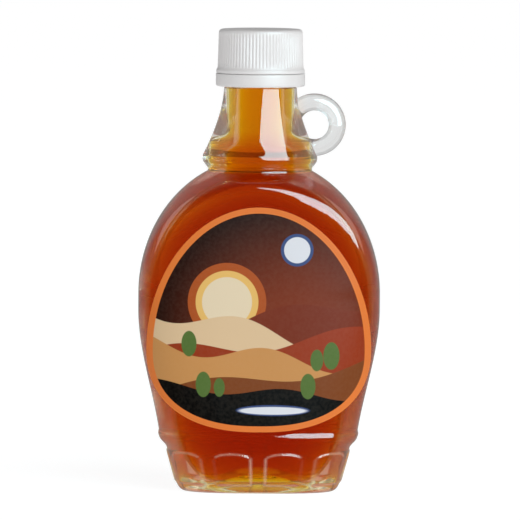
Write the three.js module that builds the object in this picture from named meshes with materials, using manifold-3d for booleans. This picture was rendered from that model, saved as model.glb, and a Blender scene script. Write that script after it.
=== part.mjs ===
// A handled glass flask of maple syrup, with an arcaded foot, an oval front label and a ribbed screw cap.
// Units are millimetres, +Z is up, and the origin is on the table under the middle of the bottle.
// The label faces -Y, and the finger ring stands on the +X side of the neck.

import * as THREE from "three";
import { mergeVertices } from "three/addons/utils/BufferGeometryUtils.js";
import Module from "manifold-3d";

const wasm = await Module();
wasm.setup();

// Heights that the front and side outlines of the glass share
const PUSH_UP_HEIGHT = 3.4;
const HEEL_HEIGHT = 3.2;
const FOOT_TOP_HEIGHT = 14.8;
const LEDGE_HEIGHT = 19.9;
const LEDGE_BEAD = 0.9;
const LEDGE_OVERHANG = 0.25;
const WIDEST_FROM_HEIGHT = 63;
const WIDEST_TO_HEIGHT = 68.5;
const SHOULDER_FROM_PULL_HEIGHT = 86.6;
const SHOULDER_TO_PULL_HEIGHT = 103.1;
const SHOULDER_TOP_HEIGHT = 110.9;
const GROOVE_HEIGHT = 112;
const RIM_HEIGHT = 115.4;
const BELL_PULL_HEIGHT = 130;
const BELL_TOP_HEIGHT = 139.6;
const MOUTH_HEIGHT = 157;

// How the curves of the foot and the flanks are drawn out between those heights
const PUSH_UP_FULLNESS = 0.7;
const HEEL_LEAN = 0.9;
const FOOT_EASE = 1.6;
const FOOT_SWELL = 0.4;
const LEDGE_SWELL = 0.2;
const FLANK_SWELL = 0.3;

// Half sizes of the glass, once across the front and once from front to back
const FRONT = {
  bearingInner: 21,
  bearingOuter: 25.4,
  heel: 28.5,
  footTop: 31.7,
  ledge: 34.5,
  body: 41.9,
  bulge: 41.9,
  shoulderPull: 32.6,
};
const SIDE = {
  bearingInner: 11.6,
  bearingOuter: 15.6,
  heel: 19.4,
  footTop: 22.2,
  ledge: 24,
  body: 28,
  bulge: 46,
  shoulderPull: 38,
};

// The upright faces that the front and back of the flask are pressed to, which carry the label
const FACE_HALF_WIDTH = 46;
const FACE_HALF_DEPTH = 26;
const FACE_BLEND = 2.4;

// The round neck above the shoulder
const GROOVE_RADIUS = 18.1;
const GROOVE_DEPTH = 0.15;
const RIM_RADIUS = 19.9;
const RIM_ROUNDING = 3.3;
const RIM_FROM_ANGLE = -0.6;
const RIM_TO_ANGLE = 0.47;
const BELL_TOP_RADIUS = 12.6;
const BELL_SWELL = 0.35;
const FINISH_RADIUS = 12.2;
const FINISH_STEP = 0.4;
const LIP_ROUNDING = 0.8;

// How square the oval sections are: 2 is an ellipse, and more is closer to a rectangle
const FOOT_SQUARENESS = 3;
const BODY_SQUARENESS = 2.9;
const CAVITY_SQUARENESS = 2.7;
const ROUND = 2;
const SQUARE_FOOT_TO_HEIGHT = 30;
const SQUARE_UP_TO_HEIGHT = 88;

// The space inside the glass
const PUNT_HEIGHT = 7.2;
const PUNT_FULLNESS = 0.5;
const TROUGH_FULLNESS = 0.7;
const FLOOR_HEIGHT = 3.6;
const BOWL_TOP_HEIGHT = 26;
const BOWL_FULLNESS = 0.45;
const CAVITY_SHOULDER_FROM = 66;
const CAVITY_FROM_PULL_HEIGHT = 86;
const CAVITY_TO_PULL_HEIGHT = 103;
const CAVITY_SHOULDER_TO = 107.5;
const CAVITY_FRONT = { trough: 17, bowl: 29.6, body: 39, shoulderPull: 26 };
const CAVITY_SIDE = { trough: 13, bowl: 21.8, body: 23.5, shoulderPull: 21 };
const CAVITY_NECK_RADIUS = 12.2;
const HOLLOW_TOP_HEIGHT = 116.5;
const BORE_RADIUS = 7.6;
const BORE_FROM_HEIGHT = 122.5;
const SYRUP_LEVEL = 141.3;
const FIT_GAP = 0.3;

// Arched panels raised from the wall of the foot
const PANEL_COUNT = 10;
const PANEL_WIDTH = 13;
const PANEL_BOTTOM_HEIGHT = 2.6;
const PANEL_TOP_HEIGHT = 14.6;
const PANEL_CROWN = 3.4;
const PANEL_CROWN_EASE = 0.1;
const PANEL_CROWN_FULLNESS = 0.72;
const PANEL_RISE = 0.5;
const PANEL_BLOCK_REACH = 4;

// The glass finger ring beside the neck
const RING_CENTRE_X = 18.8;
const RING_CENTRE_HEIGHT = 126.9;
const RING_RADIUS = 7.9;
const RING_THICKNESS = 5.9;

// The oval paper label on the front
const LABEL_CENTRE_HEIGHT = 49.6;
const LABEL_HALF_WIDTH = 38.6;
const LABEL_RISE = 50;
const LABEL_DROP = 27.6;
const LABEL_DROP_SQUARENESS = 2.35;
const LABEL_THICKNESS = 0.2;
const LABEL_RINGS = [0.2, 0.4, 0.58, 0.72, 0.83, 0.91, 0.96, 1];

// The screw cap and the tamper band below it
const CAP_TOP_HEIGHT = 160;
const CAP_BOTTOM_HEIGHT = 144.8;
const CAP_BEAD_RADIUS = 15.3;
const CAP_BEAD_HEIGHT = 145.9;
const CAP_SKIRT_RADIUS = 14.85;
const CAP_TOP_RADIUS = 14.55;
const CAP_EDGE_ROUNDING = 1.6;
const CAP_EDGE_FULLNESS = 1.1;
const CAP_BORE_RADIUS = 12.6;
const CAP_BORE_TOP_HEIGHT = 157.5;
const RIB_COUNT = 76;
const RIB_DEPTH = 0.28;
const RIB_FROM_HEIGHT = 147;
const RIB_TO_HEIGHT = 157.2;
const BAND_BOTTOM_HEIGHT = 140.2;
const BAND_TOP_HEIGHT = 144.5;
const BAND_RADIUS = 15.45;
const BAND_BORE_RADIUS = 13;
const BAND_ROUNDING = 0.9;
const BAND_TAPER = 0.1;

// How finely the round shapes are divided
const GLASS_SEGMENTS = 54;
const CAVITY_SEGMENTS = 32;
const PLAIN_SEGMENTS = 36;
const LABEL_SEGMENTS = 40;
const RING_SEGMENTS = 28;
const RING_SECTION_SEGMENTS = 10;
const SMALL_CURVE_STEPS = 3;
const CAVITY_CURVE_STEPS = 4;
const LONG_CURVE_STEPS = 8;
const FINE_OUTLINE = 8;
const OVAL_LENGTH_STEPS = 800;
const HALVINGS = 40;
const SLOPE_STEP = 0.05;
const SAME_POINT = 1e-4;
const CUT_PAST = 5;

const glassMaterial = new THREE.MeshStandardMaterial({
  name: "clear_glass",
  color: 0xf2f5f4,
  roughness: 0.03,
  metalness: 0,
  transparent: true,
  opacity: 0.35,
});
const syrupMaterial = new THREE.MeshStandardMaterial({
  name: "amber_syrup",
  color: 0xa64407,
  roughness: 0.05,
  metalness: 0,
});
const capMaterial = new THREE.MeshStandardMaterial({
  name: "white_plastic",
  color: 0xeceeee,
  roughness: 0.45,
  metalness: 0,
});
const labelMaterial = new THREE.MeshStandardMaterial({
  name: "printed_paper",
  color: 0x2a1610,
  roughness: 0.5,
  metalness: 0,
});

// A closed geometry as a solid that can be joined and cut
function solid(geometry) {
  const plain = geometry.clone();
  plain.deleteAttribute("normal");
  plain.deleteAttribute("uv");
  const merged = mergeVertices(plain, SAME_POINT);
  return new wasm.Manifold(
    new wasm.Mesh({
      numProp: 3,
      vertProperties: new Float32Array(merged.getAttribute("position").array),
      triVerts: new Uint32Array(merged.index.array),
    }),
  );
}

function geometryOf(made) {
  const mesh = made.getMesh();
  const geometry = new THREE.BufferGeometry();
  geometry.setAttribute("position", new THREE.BufferAttribute(mesh.vertProperties, 3));
  geometry.setIndex(new THREE.BufferAttribute(mesh.triVerts, 1));
  geometry.computeVertexNormals();
  return geometry;
}

function named(name, geometry, material) {
  const mesh = new THREE.Mesh(geometry, material);
  mesh.name = name;
  return mesh;
}

// How far an oval of unit size reaches along a direction
function ovalReach(across, along, squareness) {
  return (Math.abs(across) ** squareness + Math.abs(along) ** squareness) ** (-1 / squareness);
}

// One point of an oval section, turn radians round from +X
function ovalPoint(halfWidth, halfDepth, squareness, turn, height) {
  const reach = ovalReach(Math.cos(turn), Math.sin(turn), squareness);
  return new THREE.Vector3(
    halfWidth * Math.cos(turn) * reach,
    halfDepth * Math.sin(turn) * reach,
    height,
  );
}

// The same point, kept within the upright faces of the flask
function pressedPoint(halfWidth, halfDepth, squareness, turn, height) {
  const point = ovalPoint(halfWidth, halfDepth, squareness, turn, height);
  const own = Math.hypot(point.x, point.y);
  if (own === 0) return point;
  const face = ovalReach(point.x / own / FACE_HALF_WIDTH, point.y / own / FACE_HALF_DEPTH, BODY_SQUARENESS);
  const near = Math.max(FACE_BLEND - Math.abs(own - face), 0) / FACE_BLEND;
  const kept = Math.min(own, face) - (near * near * FACE_BLEND) / 4;
  return new THREE.Vector3((point.x * kept) / own, (point.y * kept) / own, height);
}

// A lathe whose every vertex is placed by its step round the axis and its step along the profile
function placedLathe(profile, segments, place) {
  const geometry = new THREE.LatheGeometry(profile, segments);
  const position = geometry.getAttribute("position");
  for (let step = 0; step <= segments; step++) {
    profile.forEach((point, j) => {
      const p = place(step % segments, j, point);
      position.setXYZ(step * profile.length + j, p.x, p.y, p.z);
    });
  }
  return geometry;
}

// A lathe squeezed from a circle to an oval, with a front outline and a side outline of equal heights
function ovalLathe(front, side, squareness, segments, pointOf = ovalPoint) {
  return placedLathe(front, segments, (step, j, point) =>
    pointOf(point.x, side[j].x, squareness(point.y), (2 * Math.PI * step) / segments, point.y),
  );
}

function roundLathe(profile, segments) {
  return ovalLathe(profile, profile, () => ROUND, segments);
}

// Squareness at a height: a square-shouldered foot and body, and a round neck
function outerSquareness(height) {
  const toBody = THREE.MathUtils.smoothstep(height, FOOT_TOP_HEIGHT, SQUARE_FOOT_TO_HEIGHT);
  const toNeck = THREE.MathUtils.smoothstep(height, SQUARE_UP_TO_HEIGHT, SHOULDER_TOP_HEIGHT);
  const below = THREE.MathUtils.lerp(FOOT_SQUARENESS, BODY_SQUARENESS, toBody);
  return THREE.MathUtils.lerp(below, ROUND, toNeck);
}

function cavitySquareness(height) {
  const toNeck = THREE.MathUtils.smoothstep(height, SQUARE_UP_TO_HEIGHT, CAVITY_SHOULDER_TO);
  return THREE.MathUtils.lerp(CAVITY_SQUARENESS, ROUND, toNeck);
}

// The outline of the glass from the middle of its base to the mouth, across the front or from front to back
function glassOutline(half, fineness = 1) {
  const beadTop = LEDGE_HEIGHT + LEDGE_BEAD;
  const beadBottom = LEDGE_HEIGHT - LEDGE_BEAD;
  const foot = new THREE.Path()
    .moveTo(0, PUSH_UP_HEIGHT)
    .quadraticCurveTo(half.bearingInner * PUSH_UP_FULLNESS, PUSH_UP_HEIGHT, half.bearingInner, 0)
    .lineTo(half.bearingOuter, 0)
    .quadraticCurveTo(half.heel - HEEL_LEAN, 0, half.heel, HEEL_HEIGHT)
    .lineTo(half.footTop, FOOT_TOP_HEIGHT)
    .bezierCurveTo(
      half.footTop + FOOT_SWELL,
      FOOT_TOP_HEIGHT + FOOT_EASE,
      half.ledge - LEDGE_SWELL,
      beadBottom - FOOT_EASE,
      half.ledge,
      beadBottom,
    )
    .quadraticCurveTo(half.ledge + 2 * LEDGE_OVERHANG, LEDGE_HEIGHT, half.ledge, beadTop);

  const flank = (WIDEST_FROM_HEIGHT - beadTop) / 3;
  const body = new THREE.Path()
    .moveTo(half.ledge, beadTop)
    .bezierCurveTo(
      half.ledge + FLANK_SWELL * (half.body - half.ledge),
      beadTop + flank,
      half.body,
      WIDEST_FROM_HEIGHT - flank,
      half.body,
      WIDEST_FROM_HEIGHT,
    )
    .lineTo(half.body, WIDEST_TO_HEIGHT)
    .bezierCurveTo(
      half.bulge,
      SHOULDER_FROM_PULL_HEIGHT,
      half.shoulderPull,
      SHOULDER_TO_PULL_HEIGHT,
      GROOVE_RADIUS,
      SHOULDER_TOP_HEIGHT,
    );

  const grooveMiddle = (SHOULDER_TOP_HEIGHT + GROOVE_HEIGHT) / 2;
  const rimMiddle = RIM_RADIUS - RIM_ROUNDING;
  const neck = new THREE.Path()
    .moveTo(GROOVE_RADIUS, SHOULDER_TOP_HEIGHT)
    .quadraticCurveTo(GROOVE_RADIUS - GROOVE_DEPTH, grooveMiddle, GROOVE_RADIUS, GROOVE_HEIGHT)
    .absarc(rimMiddle, RIM_HEIGHT, RIM_ROUNDING, RIM_FROM_ANGLE, RIM_TO_ANGLE, false)
    .quadraticCurveTo(BELL_TOP_RADIUS + BELL_SWELL, BELL_PULL_HEIGHT, BELL_TOP_RADIUS, BELL_TOP_HEIGHT)
    .lineTo(FINISH_RADIUS, BELL_TOP_HEIGHT + FINISH_STEP)
    .lineTo(FINISH_RADIUS, MOUTH_HEIGHT - LIP_ROUNDING)
    .lineTo(FINISH_RADIUS - LIP_ROUNDING, MOUTH_HEIGHT)
    .lineTo(0, MOUTH_HEIGHT);

  return [
    ...foot.getPoints(SMALL_CURVE_STEPS * fineness),
    ...body.getPoints(LONG_CURVE_STEPS * fineness).slice(1),
    ...neck.getPoints(SMALL_CURVE_STEPS * fineness).slice(1),
  ];
}

// The outline of the space inside, drawn in by a gap on every side and closed off at a height
function cavityOutline(half, gap, topHeight) {
  const { trough } = half;
  const punt = PUNT_HEIGHT + gap;
  const floor = FLOOR_HEIGHT + gap;
  const bowl = half.bowl - gap;
  const body = half.body - gap;
  const neck = CAVITY_NECK_RADIUS - gap;
  const bore = BORE_RADIUS - gap;
  const bowlDepth = BOWL_TOP_HEIGHT - floor;
  const flank = (WIDEST_FROM_HEIGHT - BOWL_TOP_HEIGHT) / 3;
  const narrowing = (HOLLOW_TOP_HEIGHT + BORE_FROM_HEIGHT) / 2;
  return new THREE.Path()
    .moveTo(0, punt)
    .bezierCurveTo(trough * PUNT_FULLNESS, punt, trough * TROUGH_FULLNESS, floor, trough, floor)
    .bezierCurveTo(
      THREE.MathUtils.lerp(trough, bowl, BOWL_FULLNESS),
      floor,
      bowl,
      BOWL_TOP_HEIGHT - bowlDepth * BOWL_FULLNESS,
      bowl,
      BOWL_TOP_HEIGHT,
    )
    .bezierCurveTo(
      bowl + FLANK_SWELL * (body - bowl),
      BOWL_TOP_HEIGHT + flank,
      body,
      WIDEST_FROM_HEIGHT - flank,
      body,
      WIDEST_FROM_HEIGHT,
    )
    .lineTo(body, CAVITY_SHOULDER_FROM)
    .bezierCurveTo(
      body,
      CAVITY_FROM_PULL_HEIGHT,
      half.shoulderPull - gap,
      CAVITY_TO_PULL_HEIGHT,
      neck,
      CAVITY_SHOULDER_TO,
    )
    .lineTo(neck, HOLLOW_TOP_HEIGHT)
    .bezierCurveTo(neck, narrowing, bore, narrowing, bore, BORE_FROM_HEIGHT)
    .lineTo(bore, topHeight)
    .lineTo(0, topHeight)
    .getPoints(CAVITY_CURVE_STEPS);
}

// An oval section of the foot, walked by length so that the panels are evenly spaced
class FootOval extends THREE.Curve {
  constructor(height) {
    super();
    this.height = height;
    this.arcLengthDivisions = OVAL_LENGTH_STEPS;
  }

  getPoint(t) {
    const share = (this.height - HEEL_HEIGHT) / (FOOT_TOP_HEIGHT - HEEL_HEIGHT);
    return ovalPoint(
      THREE.MathUtils.lerp(FRONT.heel, FRONT.footTop, share),
      THREE.MathUtils.lerp(SIDE.heel, SIDE.footTop, share),
      FOOT_SQUARENESS,
      2 * Math.PI * t - Math.PI / 2,
      this.height,
    );
  }
}

// The arched outline of one panel, with its middle at the origin
function archShape() {
  const half = PANEL_WIDTH / 2;
  const top = (PANEL_TOP_HEIGHT - PANEL_BOTTOM_HEIGHT) / 2;
  const spring = top - PANEL_CROWN;
  const haunch = top - PANEL_CROWN_EASE * PANEL_CROWN;
  const crown = PANEL_CROWN_FULLNESS * half;
  return new THREE.Shape()
    .moveTo(-half, -top)
    .lineTo(half, -top)
    .lineTo(half, spring)
    .bezierCurveTo(half, haunch, crown, top, 0, top)
    .bezierCurveTo(-crown, top, -half, haunch, -half, spring);
}

// The arched panels: arched blocks, out to a foot that is swollen by the panels' rise
function footPanels() {
  const middle = (PANEL_TOP_HEIGHT + PANEL_BOTTOM_HEIGHT) / 2;
  const oval = new FootOval(middle);
  const lean = (FRONT.footTop - FRONT.heel) / (FOOT_TOP_HEIGHT - HEEL_HEIGHT);
  const up = new THREE.Vector3(0, 0, 1);
  let blocks = null;
  for (let k = 0; k < PANEL_COUNT; k++) {
    const share = (k + 0.5) / PANEL_COUNT;
    const along = oval.getTangentAt(share).normalize();
    const out = along.clone().cross(up);
    const rise = out.clone().multiplyScalar(lean).add(up).normalize();
    const facing = along.clone().cross(rise);
    const block = new THREE.ExtrudeGeometry(archShape(), {
      depth: 2 * PANEL_BLOCK_REACH,
      bevelEnabled: false,
      curveSegments: SMALL_CURVE_STEPS,
    });
    block.translate(0, 0, -PANEL_BLOCK_REACH);
    block.applyMatrix4(new THREE.Matrix4().makeBasis(along, rise, facing));
    block.translate(...oval.getPointAt(share));
    blocks = blocks ? blocks.add(solid(block)) : solid(block);
  }
  const wall = (half) => {
    const slope = (half.footTop - half.heel) / (FOOT_TOP_HEIGHT - HEEL_HEIGHT);
    const at = (height) => new THREE.Vector2(half.heel + slope * (height - HEEL_HEIGHT) + PANEL_RISE, height);
    const low = at(0);
    const high = at(LEDGE_HEIGHT);
    return [new THREE.Vector2(0, low.y), low, high, new THREE.Vector2(0, high.y)];
  };
  const swollen = ovalLathe(wall(FRONT), wall(SIDE), () => FOOT_SQUARENESS, GLASS_SEGMENTS);
  return blocks.intersect(solid(swollen));
}

function fingerRing() {
  const ring = new THREE.TorusGeometry(RING_RADIUS, RING_THICKNESS / 2, RING_SECTION_SEGMENTS, RING_SEGMENTS);
  ring.rotateX(Math.PI / 2);
  ring.translate(RING_CENTRE_X, 0, RING_CENTRE_HEIGHT);
  return solid(ring);
}

function bottle() {
  const outside = ovalLathe(
    glassOutline(FRONT),
    glassOutline(SIDE),
    outerSquareness,
    GLASS_SEGMENTS,
    pressedPoint,
  );
  const aboveMouth = MOUTH_HEIGHT + CUT_PAST;
  const inside = ovalLathe(
    cavityOutline(CAVITY_FRONT, 0, aboveMouth),
    cavityOutline(CAVITY_SIDE, 0, aboveMouth),
    cavitySquareness,
    CAVITY_SEGMENTS,
  );
  const glass = solid(outside).add(footPanels()).add(fingerRing()).subtract(solid(inside));
  return named("bottle", geometryOf(glass), glassMaterial);
}

function syrup() {
  const filling = ovalLathe(
    cavityOutline(CAVITY_FRONT, FIT_GAP, SYRUP_LEVEL),
    cavityOutline(CAVITY_SIDE, FIT_GAP, SYRUP_LEVEL),
    cavitySquareness,
    CAVITY_SEGMENTS,
  );
  return named("syrup", filling, syrupMaterial);
}

// Half size of an outline at a height
function halfAt(outline, height) {
  const next = outline.findIndex((point, i) => i > 0 && point.y >= height && outline[i - 1].y < height);
  const [low, high] = [outline[next - 1], outline[next]];
  return THREE.MathUtils.mapLinear(height, low.y, high.y, low.x, high.x);
}

function label() {
  const front = glassOutline(FRONT, FINE_OUTLINE).filter((point) => point.y > HEEL_HEIGHT);
  const side = glassOutline(SIDE, FINE_OUTLINE).filter((point) => point.y > HEEL_HEIGHT);
  const onGlass = (x, height) => {
    const oval = [halfAt(front, height), halfAt(side, height), outerSquareness(height)];
    let [left, right] = [-Math.PI, 0];
    for (let halving = 0; halving < HALVINGS; halving++) {
      const middle = (left + right) / 2;
      if (pressedPoint(...oval, middle, height).x < x) left = middle;
      else right = middle;
    }
    return pressedPoint(...oval, right, height);
  };
  const offGlass = (x, height, distance) => {
    const across = onGlass(x + SLOPE_STEP, height).sub(onGlass(x - SLOPE_STEP, height));
    const upward = onGlass(x, height + SLOPE_STEP).sub(onGlass(x, height - SLOPE_STEP));
    return onGlass(x, height).addScaledVector(across.cross(upward).normalize(), distance);
  };
  const back = LABEL_RINGS.map((r) => new THREE.Vector2(r, 0));
  const face = LABEL_RINGS.map((r) => new THREE.Vector2(r, 1)).reverse();
  const disc = [new THREE.Vector2(0, 0), ...back, ...face, new THREE.Vector2(0, 1)];
  const paper = placedLathe(disc, LABEL_SEGMENTS, (step, j, point) => {
    const turn = (2 * Math.PI * step) / LABEL_SEGMENTS;
    const upper = Math.sin(turn) >= 0;
    const squareness = upper ? ROUND : LABEL_DROP_SQUARENESS;
    const height = upper ? LABEL_RISE : LABEL_DROP;
    const edge = ovalPoint(LABEL_HALF_WIDTH, height, squareness, turn, 0);
    const distance = FIT_GAP + point.y * LABEL_THICKNESS;
    return offGlass(point.x * edge.x, LABEL_CENTRE_HEIGHT + point.x * edge.y, distance);
  });
  return named("front_label", paper, labelMaterial);
}

function cap() {
  const haunch = CAP_TOP_HEIGHT - CAP_EDGE_ROUNDING + CAP_EDGE_FULLNESS;
  const outline = new THREE.Path()
    .moveTo(0, CAP_BOTTOM_HEIGHT)
    .lineTo(CAP_BEAD_RADIUS, CAP_BOTTOM_HEIGHT)
    .lineTo(CAP_BEAD_RADIUS, CAP_BEAD_HEIGHT)
    .lineTo(CAP_SKIRT_RADIUS, RIB_FROM_HEIGHT)
    .lineTo(CAP_TOP_RADIUS, RIB_TO_HEIGHT)
    .quadraticCurveTo(CAP_TOP_RADIUS, haunch, CAP_TOP_RADIUS - CAP_EDGE_ROUNDING, CAP_TOP_HEIGHT)
    .lineTo(0, CAP_TOP_HEIGHT)
    .getPoints(SMALL_CURVE_STEPS);
  const ribSteps = 2 * RIB_COUNT;
  const ribbed = placedLathe(outline, ribSteps, (step, j, point) => {
    const inRibs = point.y >= RIB_FROM_HEIGHT && point.y <= RIB_TO_HEIGHT;
    const radius = inRibs && step % 2 ? point.x - RIB_DEPTH : point.x;
    return ovalPoint(radius, radius, ROUND, (2 * Math.PI * step) / ribSteps, point.y);
  });
  const belowCap = CAP_BOTTOM_HEIGHT - CUT_PAST;
  const bore = [
    new THREE.Vector2(0, belowCap),
    new THREE.Vector2(CAP_BORE_RADIUS, belowCap),
    new THREE.Vector2(CAP_BORE_RADIUS, CAP_BORE_TOP_HEIGHT),
    new THREE.Vector2(0, CAP_BORE_TOP_HEIGHT),
  ];
  const shell = solid(ribbed).subtract(solid(roundLathe(bore, PLAIN_SEGMENTS)));
  return named("cap", geometryOf(shell), capMaterial);
}

function tamperBand() {
  const section = new THREE.Path()
    .moveTo(BAND_BORE_RADIUS, BAND_BOTTOM_HEIGHT)
    .lineTo(BAND_RADIUS - BAND_ROUNDING, BAND_BOTTOM_HEIGHT)
    .quadraticCurveTo(BAND_RADIUS, BAND_BOTTOM_HEIGHT, BAND_RADIUS, BAND_BOTTOM_HEIGHT + BAND_ROUNDING)
    .lineTo(BAND_RADIUS - BAND_TAPER, BAND_TOP_HEIGHT)
    .lineTo(BAND_BORE_RADIUS, BAND_TOP_HEIGHT)
    .lineTo(BAND_BORE_RADIUS, BAND_BOTTOM_HEIGHT)
    .getPoints(SMALL_CURVE_STEPS);
  return named("tamper_band", roundLathe(section, PLAIN_SEGMENTS), capMaterial);
}

const syrupBottle = new THREE.Group();
syrupBottle.add(bottle(), syrup(), label(), cap(), tamperBand());

export default syrupBottle;
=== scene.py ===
"""Looks of a handled glass flask of amber syrup, with its label, ribbed cap and tamper band."""

import math
from collections import namedtuple

import bmesh
import bpy
from mathutils import Matrix, Vector


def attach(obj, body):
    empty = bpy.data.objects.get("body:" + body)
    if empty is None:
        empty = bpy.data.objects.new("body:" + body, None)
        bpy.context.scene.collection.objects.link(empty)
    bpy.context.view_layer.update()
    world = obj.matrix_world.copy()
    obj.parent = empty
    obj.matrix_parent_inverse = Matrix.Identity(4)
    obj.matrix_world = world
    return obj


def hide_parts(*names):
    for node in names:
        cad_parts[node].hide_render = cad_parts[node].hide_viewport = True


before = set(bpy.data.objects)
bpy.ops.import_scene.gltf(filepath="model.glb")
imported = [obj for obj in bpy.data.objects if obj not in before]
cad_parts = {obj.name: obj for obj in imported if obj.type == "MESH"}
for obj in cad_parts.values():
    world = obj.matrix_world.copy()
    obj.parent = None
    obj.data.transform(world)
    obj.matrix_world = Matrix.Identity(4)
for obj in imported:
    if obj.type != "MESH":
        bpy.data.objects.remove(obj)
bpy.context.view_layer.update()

MM = 0.001
TURN = 2 * math.pi

# Heights that the front and side outlines of the glass share, in millimetres
PUSH_UP_HEIGHT = 3.4
HEEL_HEIGHT = 3.2
FOOT_TOP_HEIGHT = 14.8
LEDGE_HEIGHT = 19.9
LEDGE_BEAD = 0.9
LEDGE_OVERHANG = 0.25
WIDEST_FROM_HEIGHT = 63
WIDEST_TO_HEIGHT = 68.5
SHOULDER_FROM_PULL_HEIGHT = 86.6
SHOULDER_TO_PULL_HEIGHT = 103.1
SHOULDER_TOP_HEIGHT = 110.9
GROOVE_HEIGHT = 112
RIM_HEIGHT = 115.4
BELL_PULL_HEIGHT = 130
BELL_TOP_HEIGHT = 139.6
MOUTH_HEIGHT = 157

# How the curves of the foot and the flanks are drawn out between those heights
PUSH_UP_FULLNESS = 0.7
HEEL_LEAN = 0.9
FOOT_EASE = 1.6
FOOT_SWELL = 0.4
LEDGE_SWELL = 0.2
FLANK_SWELL = 0.3

# Half sizes of the glass, across the front and from front to back
Halves = namedtuple("Halves", "bearing_inner bearing_outer heel foot_top ledge body bulge shoulder_pull")
FRONT = Halves(21, 25.4, 28.5, 31.7, 34.5, 41.9, 41.9, 32.6)
SIDE = Halves(11.6, 15.6, 19.4, 22.2, 24, 28, 46, 38)

# The upright faces that the front and back of the flask are pressed to
FACE_WIDTH = 46
FACE_DEPTH = 26
FACE_BLEND = 2.4

# The round neck above the shoulder
GROOVE_RADIUS = 18.1
GROOVE_DEPTH = 0.15
RIM_RADIUS = 19.9
RIM_ROUNDING = 3.3
RIM_FROM_ANGLE = -0.6
RIM_TO_ANGLE = 0.47
BELL_TOP_RADIUS = 12.6
BELL_SWELL = 0.35
FINISH_RADIUS = 12.2
FINISH_STEP = 0.4
LIP_ROUNDING = 0.8

# How square the oval sections are: 2 is an ellipse, and more is closer to a rectangle
FOOT_SQUARENESS = 3
BODY_SQUARENESS = 2.9
CAVITY_SQUARENESS = 2.7
ROUND = 2
SQUARE_FOOT_TO_HEIGHT = 30
SQUARE_UP_TO_HEIGHT = 88

# The space inside the glass
PUNT_HEIGHT = 7.2
PUNT_FULLNESS = 0.5
TROUGH_FULLNESS = 0.7
FLOOR_HEIGHT = 3.6
BOWL_TOP_HEIGHT = 26
BOWL_FULLNESS = 0.45
CAVITY_SHOULDER_FROM = 66
CAVITY_FROM_PULL_HEIGHT = 86
CAVITY_TO_PULL_HEIGHT = 103
CAVITY_SHOULDER_TO = 107.5
HOLLOW_TOP_HEIGHT = 116.5
Space = namedtuple("Space", "trough bowl body shoulder_pull")
CAVITY_FRONT = Space(17, 29.6, 39, 26)
CAVITY_SIDE = Space(13, 21.8, 23.5, 21)
CAVITY_NECK_RADIUS = 12.2
BORE_RADIUS = 7.6
BORE_FROM_HEIGHT = 122.5
SYRUP_LEVEL = 141.3
WETTING = 0.1
LEVEL_RINGS = (0.97, 0.5, 0.05)

# Arched panels round the foot
PANEL_COUNT = 10
PANEL_WIDTH = 13
PANEL_BOTTOM_HEIGHT = 2.6
PANEL_TOP_HEIGHT = 14.6
PANEL_CROWN = 3.4
PANEL_CROWN_SQUARENESS = 2.6
PANEL_RISE = 0.5
PANEL_EDGE = 1.1

# The glass finger ring beside the neck
RING_CENTRE = (18.8, 0, 126.9)
RING_RADIUS = 7.9
RING_THICKNESS = 5.9

# The oval paper label on the front
LABEL_CENTRE_HEIGHT = 49.6
LABEL_HALF_WIDTH = 38.6
LABEL_RISE = 50
LABEL_DROP = 27.6
LABEL_DROP_SQUARENESS = 2.35
LABEL_LIFT = 0.04
LABEL_THICKNESS = 0.2

# The screw cap and the tamper band below it
CAP_TOP_HEIGHT = 160
CAP_BOTTOM_HEIGHT = 144.8
CAP_BEAD_RADIUS = 15.3
CAP_BEAD_HEIGHT = 145.9
CAP_SKIRT_RADIUS = 14.85
CAP_TOP_RADIUS = 14.55
CAP_EDGE_ROUNDING = 1.6
CAP_POLE_RADIUS = 0.4
CAP_LIP_ROUNDING = 0.25
CAP_WALL = 1
BEAD_SWELL = 0.05
BEAD_EASE = 0.5
CAP_BORE_RADIUS = 12.6
CAP_BORE_TOP_HEIGHT = 157.5
RIB_COUNT = 76
RIB_DEPTH = 0.28
RIB_SHARPNESS = 1.5
RIB_FROM_HEIGHT = 147
RIB_FADE_BELOW = 0.3
RIB_FADE_ABOVE = 0.5
RIB_TO_HEIGHT = 157.2
RIB_END = 0.4
BAND_BOTTOM_HEIGHT = 140.2
BAND_TOP_HEIGHT = 144.65
BAND_RADIUS = 15.45
BAND_BORE_RADIUS = 13
BAND_ROUNDING = 0.9
BAND_TOP_ROUNDING = 0.3

# How finely the round shapes are divided
GLASS_SEGMENTS = 224
LABEL_SEGMENTS = 160
LABEL_RINGS = 44
LABEL_RING_SPREAD = 0.8
STEPS_TO_A_RIB = 8
RING_SEGMENTS = 80
RING_SECTION_SEGMENTS = 32
BAND_SEGMENTS = 180
OVAL_STEPS = 720
HALVINGS = 40
SLOPE_STEP = 0.05
SLOPE_TURN = 0.01
SAME_SPOT = 1e-6

Ring = namedtuple("Ring", "width depth height squareness")


def smoothstep(value, low, high):
    share = min(max((value - low) / (high - low), 0.0), 1.0)
    return share * share * (3 - 2 * share)


def mix(a, b, share):
    return a + (b - a) * share


class Outline:
    """A line of (half size, height) points that is drawn piece by piece, in millimetres."""

    def __init__(self, half, height):
        self.points = [Vector((half, height))]

    def to(self, *knots, steps=1):
        """Goes on along the Bezier curve through these knots: one is a line, two a bow, three an S."""
        start = [self.points[-1].copy(), *(Vector(knot) for knot in knots)]
        for i in range(1, steps + 1):
            held = start
            while len(held) > 1:
                held = [a.lerp(b, i / steps) for a, b in zip(held, held[1:])]
            self.points.append(held[0])
        return self

    def arc(self, half, height, radius, start, end, steps):
        """Goes on round part of a circle."""
        for i in range(steps + 1):
            angle = mix(start, end, i / steps)
            self.points.append(Vector((half + radius * math.cos(angle), height + radius * math.sin(angle))))
        return self


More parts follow.
